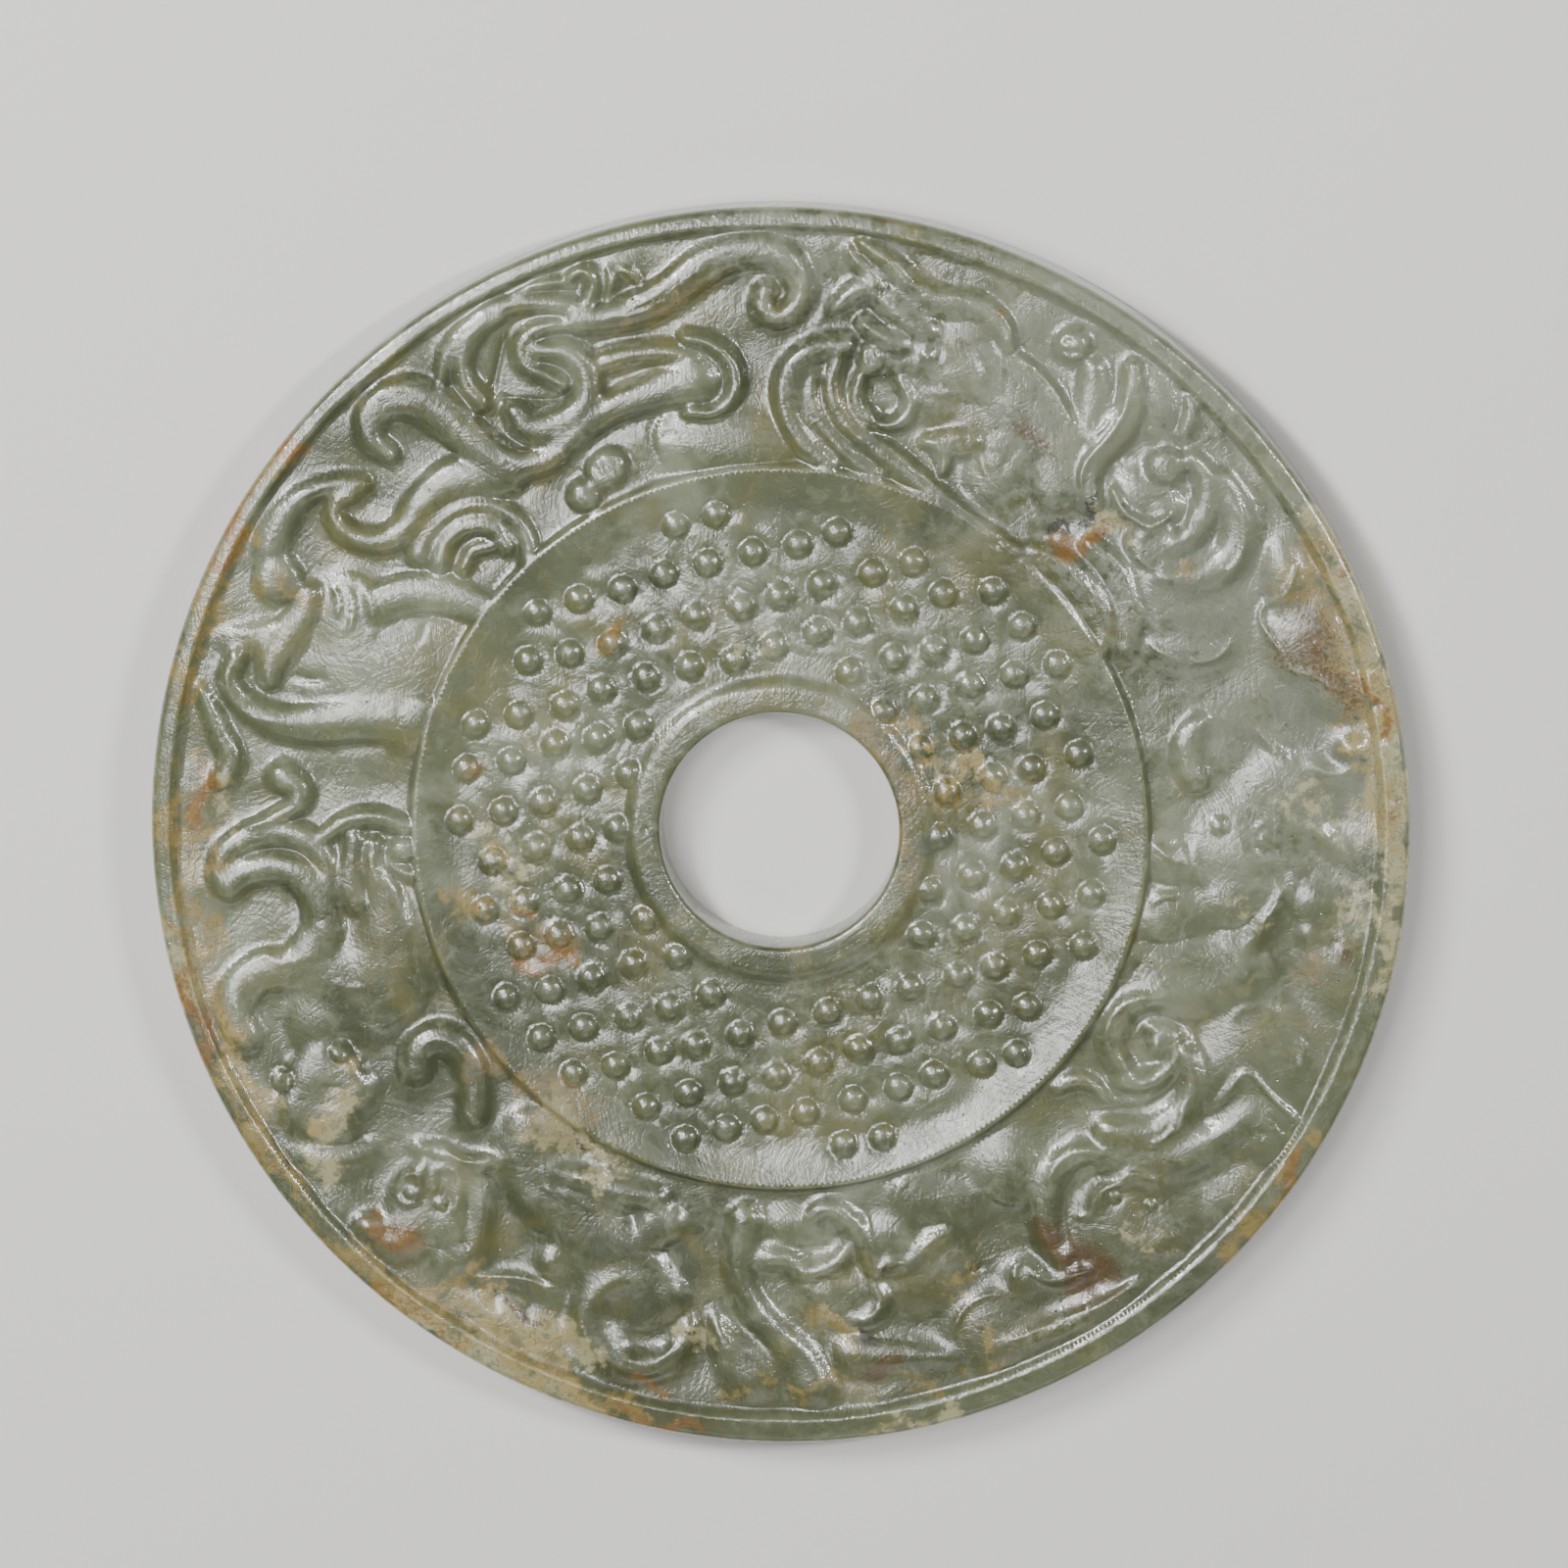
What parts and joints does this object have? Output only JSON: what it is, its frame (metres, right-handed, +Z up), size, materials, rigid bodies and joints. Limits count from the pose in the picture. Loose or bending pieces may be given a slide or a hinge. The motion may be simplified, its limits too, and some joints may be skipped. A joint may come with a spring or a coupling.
{
  "type": "jade bi disc",
  "caption": "Flat round jade disc with a central hole, a field of round grain bosses and a border of coiling dragons in low relief.",
  "frame": {"origin": "centre of the hole at the underside, on the surface the disc lies on", "axes": "+Z up out of the carved face, +Y towards the dragon whose head is seen in profile, +X to its right"},
  "size_m": [0.192, 0.192, 0.01],
  "materials": {
    "green_jade": "polished nephrite, grey-green with rust and cream clouds"
  },
  "bodies": {
    "root": {"jade_disc": "green_jade"}
  },
  "joints": []
}
